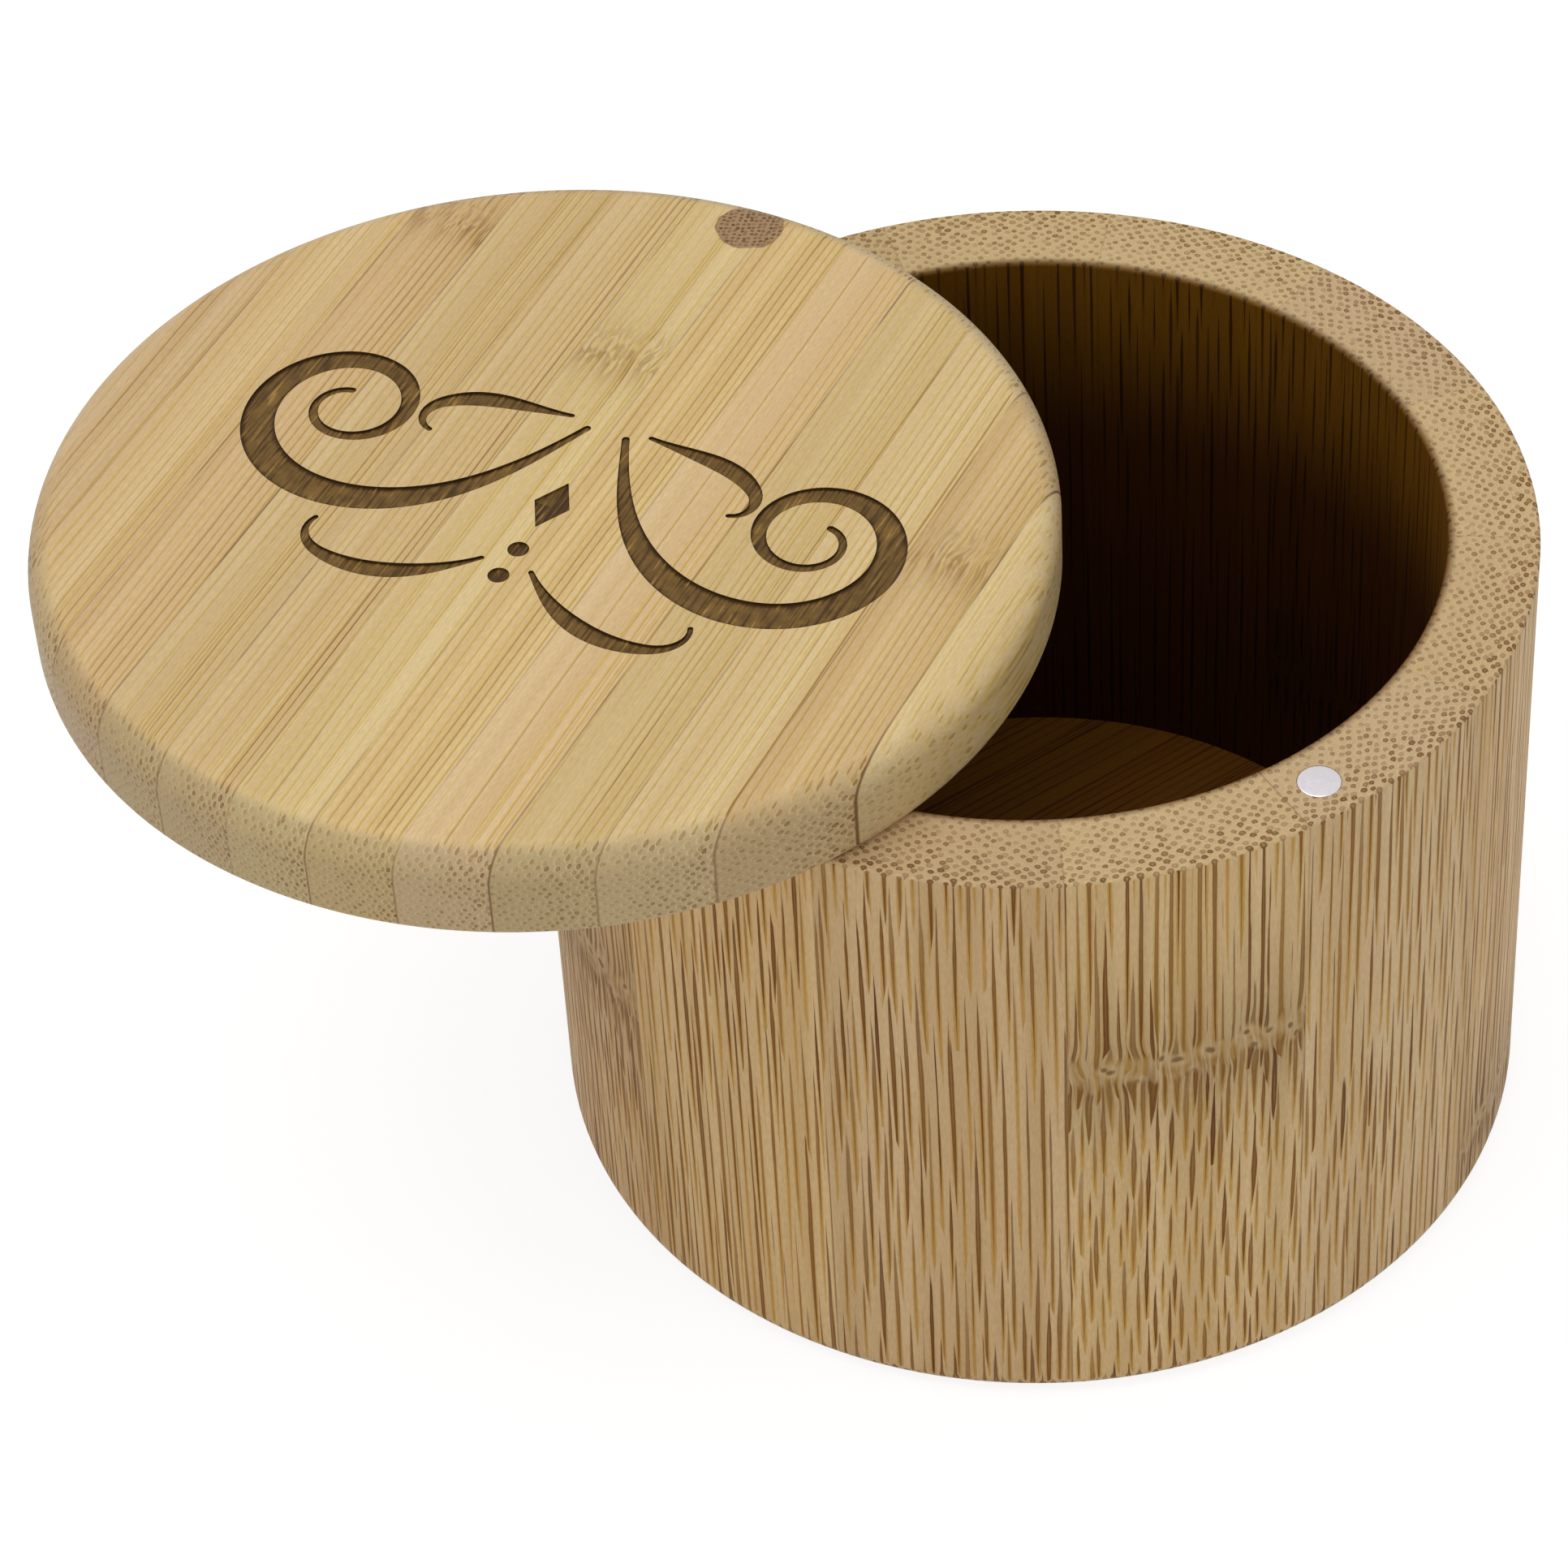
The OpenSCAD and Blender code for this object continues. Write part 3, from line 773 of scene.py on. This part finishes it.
def scroll_tree(material):
    """Geometry Nodes: sweeps a ribbon along the strokes, mirrors it, adds lozenge and beads, thickens all"""
    tree = bpy.data.node_groups.new("Burnt scroll", "GeometryNodeTree")
    sockets(tree, "INPUT", "Geometry", "Strokes")
    sockets(tree, "INPUT", "Float", "Depth", "Above", "Bead radius")
    sockets(tree, "INPUT", "Int", "Beads")
    sockets(tree, "INPUT", "Vector", "Lozenge")
    sockets(tree, "OUTPUT", "Geometry", "Cutter")
    given = add(tree, "NodeGroupInput").node.outputs
    upright = add(tree, "GeometryNodeSetCurveNormal", (given["Strokes"],), mode="Z_UP")
    pen = add(tree, "GeometryNodeCurvePrimitiveLine", {"Start": (-0.5, 0, 0), "End": (0.5, 0, 0)})
    pen = add(tree, "GeometryNodeResampleCurve", {"Curve": pen, "Count": 7})
    held = tree.nodes.new("GeometryNodeCaptureAttribute")
    held.capture_items.new("FLOAT", "Across")
    tree.links.new(pen, held.inputs["Geometry"])
    tree.links.new(add(tree, "GeometryNodeSplineParameter"), held.inputs["Across"])
    width = add(tree, "GeometryNodeInputRadius")
    swept = {"Curve": upright, "Profile Curve": held.outputs["Geometry"], "Scale": width}
    ribbon = add(tree, "GeometryNodeCurveToMesh", swept)
    ribbon = burn_across(tree, ribbon, held.outputs["Across"])
    other = add(tree, "GeometryNodeTransform", {"Geometry": ribbon, "Scale": (-1, 1, 1)})
    other = add(tree, "GeometryNodeFlipFaces", (other,))

    # Lozenge and beads are fans of triangles round their last point, which is the middle of the burn.
    number = add(tree, "GeometryNodeInputIndex")
    fans = []
    for corners in (4, 20):
        middle = add(tree, "FunctionNodeCompare", {2: number, 3: corners}, "EQUAL", data_type="INT")
        middle = add(tree, "Math", (middle, 0.43, 0.07), "MULTIPLY_ADD")
        round_shape = {"Vertices": corners, "Radius": 1.0}
        fan = add(tree, "GeometryNodeMeshCircle", round_shape, fill_type="TRIANGLE_FAN")
        fans.append(burn_across(tree, fan, middle))
    lozenge = add(tree, "GeometryNodeTransform", {"Geometry": fans[0], "Scale": given["Lozenge"]})
    start, step = (0, FIRST_BEAD * MM, 0), (0, BEAD_STEP * MM, 0)
    row = {"Count": given["Beads"], "Start Location": start, "Offset": step}
    row = add(tree, "GeometryNodeMeshLine", row)
    beads = {"Points": row, "Instance": fans[1], "Scale": given["Bead radius"]}
    beads = add(tree, "GeometryNodeInstanceOnPoints", beads)
    beads = add(tree, "GeometryNodeRealizeInstances", (beads,))
    flat = add(tree, "GeometryNodeJoinGeometry", ([ribbon, other, lozenge, beads],))

    sink = add(tree, "Math", (given["Depth"], -1), "MULTIPLY")
    sink = add(tree, "CombineXYZ", (0, 0, sink))
    bottom = add(tree, "GeometryNodeSetPosition", {"Geometry": flat, "Offset": sink})
    thick = add(tree, "Math", (given["Depth"], given["Above"]), "ADD")
    thick = add(tree, "CombineXYZ", (0, 0, thick))
    grown = {"Mesh": bottom, "Offset": thick, "Offset Scale": 1.0, "Individual": False}
    raised = add(tree, "GeometryNodeExtrudeMesh", grown, mode="FACES")
    under = add(tree, "GeometryNodeFlipFaces", (bottom,))
    solid = add(tree, "GeometryNodeJoinGeometry", ([under, raised],))
    solid = add(tree, "GeometryNodeMergeByDistance", {"Geometry": solid, "Distance": 1e-6})
    solid = add(tree, "GeometryNodeRealizeInstances", (solid,))
    solid = add(tree, "GeometryNodeSetMaterial", {"Geometry": solid, "Material": material})
    add(tree, "NodeGroupOutput", (solid,))
    return tree


def scroll_cutter(material):
    """The solid that is taken out of the lid where the scroll is burnt in"""
    sizes = bpy.context.scene.salt_box_sizes
    scroll = bpy.context.scene.salt_box_scroll
    curve = bpy.data.curves.new("scroll strokes", "CURVE")
    curve.dimensions = "3D"
    for points in scroll_strokes():
        spline = curve.splines.new("POLY")
        spline.points.add(len(points) - 1)
        for point, (x, y, width) in zip(spline.points, points):
            point.co = (x * MM, y * MM, 0, 1)
            point.radius = width * MM
    holder = put("scroll strokes", curve)
    modifier = holder.modifiers.new("Burnt scroll", "NODES")
    modifier.node_group = scroll_tree(material)
    wanted = {
        "Depth": scroll.depth * MM,
        "Above": CUTTER_ABOVE * MM,
        "Beads": scroll.beads,
        "Bead radius": scroll.bead_radius * MM,
        "Lozenge": (LOZENGE[0] * MM, LOZENGE[1] * MM, 1.0),
    }
    for item in modifier.node_group.interface.items_tree:
        if item.in_out == "INPUT" and item.name in wanted:
            modifier[item.identifier] = wanted[item.name]
    mesh = result_of(holder)
    bpy.data.objects.remove(holder)
    top = sizes.rim_height + sizes.lid_thickness
    mesh.transform(swung_open() @ Matrix.Translation(Vector((*SCROLL_CENTRE, top)) * MM))
    return put("scroll cutter", mesh)


def burnt_strip(name, cutter):
    """A copy of a lid strip with the scroll cut out of its top, or None where the scroll misses it"""
    mesh = frame["nodes"][name].data.copy()
    work = bmesh.new()
    work.from_mesh(mesh)
    bmesh.ops.remove_doubles(work, verts=work.verts, dist=1e-7)
    bmesh.ops.dissolve_degenerate(work, edges=work.edges, dist=1e-7)
    work.to_mesh(mesh)
    work.free()
    before = len(mesh.polygons)
    while mesh.uv_layers:
        mesh.uv_layers.remove(mesh.uv_layers[0])
    mesh.uv_layers.new(name="burn")
    whole = put("burnt_" + name, mesh)
    cut = whole.modifiers.new("Burn", "BOOLEAN")
    cut.operation = "DIFFERENCE"
    cut.solver = "EXACT"
    cut.object = cutter
    cut.material_mode = "TRANSFER"
    result = result_of(whole)
    bpy.data.objects.remove(whole)
    if len(result.materials) < 2 or not any(face.material_index for face in result.polygons):
        bpy.data.meshes.remove(result)
        return None
    if len(result.polygons) <= before:
        raise RuntimeError(f"the scroll didn't cut {name}")
    result.name = "burnt_" + name
    return put("burnt_" + name, result)


def smooth_over(piece, angle):
    """Smooth shading that keeps corners over the angle sharp and large flat faces flat"""
    piece.data.shade_smooth()
    piece.data.set_sharp_from_angle(angle=math.radians(angle))
    weigh = piece.modifiers.new("Weigh", "WEIGHTED_NORMAL")
    weigh.keep_sharp = True
    mesh = result_of(piece)
    piece.modifiers.clear()
    piece.data = mesh


def round_edge_normals(mesh):
    """Normals of the turned edge of the lid on the faces that lie in it, and flat normals on all others"""
    sizes = bpy.context.scene.salt_box_sizes
    axis = swung_open() @ Vector((0, 0, 0))
    radius = (sizes.wall_radius + sizes.lid_overhang) * MM
    low = sizes.rim_height * MM
    high = low + sizes.lid_thickness * MM
    top_round, foot_round = sizes.lid_top_round * MM, sizes.lid_foot_round * MM
    normals = [None] * len(mesh.loops)
    for face in mesh.polygons:
        away = (face.center - axis) * FLAT
        flat = face.normal * FLAT
        turned_face = (
            away.length > radius - top_round - 0.1 * MM
            and flat.length > 0.01
            and flat.normalized().dot(away.normalized()) > 0.98
        )
        for loop in face.loop_indices:
            if not turned_face:
                normals[loop] = face.normal.copy()
                continue
            spot = mesh.vertices[mesh.loops[loop].vertex_index].co
            away = (spot - axis) * FLAT
            if spot.z > high - top_round:
                normal = away.normalized() * (away.length - radius + top_round)
                normal.z = spot.z - high + top_round
            elif spot.z < low + foot_round:
                normal = away.normalized() * (away.length - radius + foot_round)
                normal.z = spot.z - low - foot_round
            else:
                normal = away
            normals[loop] = normal.normalized()
    mesh.shade_smooth()
    mesh.normals_split_custom_set(normals)


def turned(name, profile, centre, turn_count=96):
    """A solid turned round an upright axis. Its profile starts and ends on the axis, bottom first."""
    work = bmesh.new()
    rings = []
    for radius, height in profile:
        turns = [math.tau * step / turn_count for step in range(turn_count if radius else 1)]
        ring = [(centre.x + radius * math.cos(turn), centre.y + radius * math.sin(turn)) for turn in turns]
        rings.append([work.verts.new((x, y, height)) for x, y in ring])
    for low, high in zip(rings, rings[1:]):
        for step in range(turn_count):
            after = (step + 1) % turn_count
            ends = ((low, step), (low, after), (high, after), (high, step))
            corners = [ring[place % len(ring)] for ring, place in ends]
            work.faces.new(list(dict.fromkeys(corners)))
    bmesh.ops.recalc_face_normals(work, faces=work.faces)
    mesh = bpy.data.meshes.new(name)
    work.to_mesh(mesh)
    work.free()
    return put(name, mesh)


# ---------------------------------------------------------------------------------------------------------
# Stage


def seen_rays(tree):
    """1 for rays that come from the camera, a reflection or a glass, and 0 for the rest"""
    rays = add(tree, "LightPath").node.outputs
    seen = add(tree, "Math", (rays["Is Camera Ray"], rays["Is Glossy Ray"]), "MAXIMUM")
    return add(tree, "Math", (seen, rays["Is Transmission Ray"]), "MAXIMUM")


def studio_floor():
    """White paper. It is seen as nearly white, and throws a little less light on the box."""
    ground = bpy.data.meshes.new("studio floor")
    corners = [(x * FLOOR_HALF, y * FLOOR_HALF, 0) for x, y in ((-1, -1), (1, -1), (1, 1), (-1, 1))]
    ground.from_pydata(corners, [], [(0, 1, 2, 3)])
    paper, tree = new_material("white paper backdrop")
    dull = add(tree, "BsdfDiffuse", {"Color": (0.85, 0.85, 0.85, 1)})
    faint = add(tree, "BsdfDiffuse", {"Color": (0.28, 0.28, 0.28, 1)})
    glow = add(tree, "Emission", {"Color": WHITE, "Strength": PAPER_GLOW})
    bright = add(tree, "AddShader", (faint, glow))
    surface = add(tree, "MixShader", {0: seen_rays(tree), 1: dull, 2: bright})
    add(tree, "OutputMaterial", {"Surface": surface})
    ground.materials.append(paper)
    put("studio floor", ground)


def studio_light():
    """A white sky that lights the box dimly, and softboxes that face it"""
    world = bpy.data.worlds.new("studio")
    world.use_nodes = True
    tree = world.node_tree
    tree.nodes.clear()
    soft = add(tree, "Background", {"Color": WHITE, "Strength": SKY_LEVEL})
    clear = add(tree, "Background", {"Color": WHITE, "Strength": 1.0})
    mixed = add(tree, "MixShader", {0: seen_rays(tree), 1: soft, 2: clear})
    add(tree, "OutputWorld", {"Surface": mixed})
    bpy.context.scene.world = world
    for name, place, size, power in SOFTBOXES:
        light = bpy.data.lights.new(name, "AREA")
        light.shape = "SQUARE"
        light.size = size
        light.energy = power
        lamp = put(name, light)
        lamp.location = place
        lamp.rotation_euler = (BOX_MIDDLE - lamp.location).to_track_quat("-Z", "Y").to_euler()


def photo_camera():
    """The photograph's camera, fitted to the rim, the foot, the lid and the joints"""
    lens = bpy.data.cameras.new("camera")
    lens.sensor_width = 36
    lens.lens = CAMERA_LENS
    lens.clip_start = 0.01
    camera = put("camera", lens)
    camera.location = CAMERA_PLACE
    camera.rotation_euler = [math.radians(turn) for turn in CAMERA_TURN]
    bpy.context.scene.camera = camera
    bpy.context.scene.view_settings.view_transform = "Standard"


# ---------------------------------------------------------------------------------------------------------
# Operators


def dress_wall():
    """Gives the staves their bamboo"""
    dress(named("stave_"), wall_bamboo())


def dress_floor():
    """Gives the floor board its bamboo"""
    dress(named("floor_strip_"), floor_bamboo())


def dress_lid():
    """Gives the lid its bamboo and burns the scroll into it"""
    plain, burnt = lid_bamboo(), burnt_bamboo()
    dress(named("lid_strip_"), plain)
    cutter = scroll_cutter(burnt)
    for name in named("lid_strip_"):
        piece = burnt_strip(name, cutter)
        if piece:
            round_edge_normals(piece.data)
            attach(piece, "lid")
            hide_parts(name)
    bpy.data.objects.remove(cutter)


def dress_dowel():
    """Gives the pivot dowel its end grain"""
    dress(["pivot_dowel"], dowel_bamboo())


def make_magnets():
    """Makes the two magnets with eased edges"""
    finish = nickel()
    for name, body in (("rim_magnet", "body"), ("lid_magnet", "lid")):
        low, high = (Vector(corner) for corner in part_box(name))
        radius, ease = (high.x - low.x) / 2, EASE * MM
        turns = [math.radians(90 * step / EASE_STEPS) for step in range(EASE_STEPS + 1)]
        bevel = [(radius - ease * (1 - math.sin(turn)), ease * (1 - math.cos(turn))) for turn in turns]
        profile = [(0, low.z)] + [(r, low.z + z) for r, z in bevel]
        profile += [(r, high.z - z) for r, z in reversed(bevel)] + [(0, high.z)]
        piece = turned("eased_" + name, profile, (low + high) / 2)
        piece.data.materials.append(finish)
        smooth_over(piece, angle=40)
        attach(piece, body)
        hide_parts(name)


def set_stage():
    """Sets the floor, the studio light and the camera"""
    studio_floor()
    studio_light()
    photo_camera()


def operator(step):
    """The operator that runs a step. It is named after the step and described by its docstring."""

    def execute(self, context):
        step()
        return {"FINISHED"}

    label = step.__name__.replace("_", " ").capitalize()
    values = {"__doc__": step.__doc__, "bl_idname": f"salt_box.{step.__name__}", "bl_label": label}
    return type(label.title().replace(" ", ""), (bpy.types.Operator,), values | {"execute": execute})


class SaltBoxPanel(bpy.types.Panel):
    """Lists the sizes, the colours and the steps"""

    bl_idname = "VIEW3D_PT_salt_box"
    bl_label = "Bamboo salt box"
    bl_space_type = "VIEW_3D"
    bl_region_type = "UI"
    bl_category = "Salt box"

    def draw(self, context):
        for made in OPERATORS:
            self.layout.operator(made.bl_idname)
        for group in (getattr(context.scene, name) for name in GROUPS):
            box = self.layout.box()
            for name in group.__annotations__:
                box.prop(group, name)


GROUPS = {"salt_box_sizes": BoxSizes, "salt_box_colours": BambooColours, "salt_box_scroll": ScrollSizes}
STEPS = (dress_wall, dress_floor, dress_lid, dress_dowel, make_magnets, set_stage)
OPERATORS = [operator(step) for step in STEPS]


def register():
    for made in (*GROUPS.values(), *OPERATORS, SaltBoxPanel):
        bpy.utils.register_class(made)
    for name, made in GROUPS.items():
        setattr(bpy.types.Scene, name, bpy.props.PointerProperty(type=made))


def unregister():
    for name in GROUPS:
        delattr(bpy.types.Scene, name)
    for made in (SaltBoxPanel, *reversed(OPERATORS), *reversed(GROUPS.values())):
        bpy.utils.unregister_class(made)


def main():
    register()
    for step in STEPS:
        getattr(bpy.ops.salt_box, step.__name__)()
    bpy.context.view_layer.update()


if __name__ == "__main__":
    main()
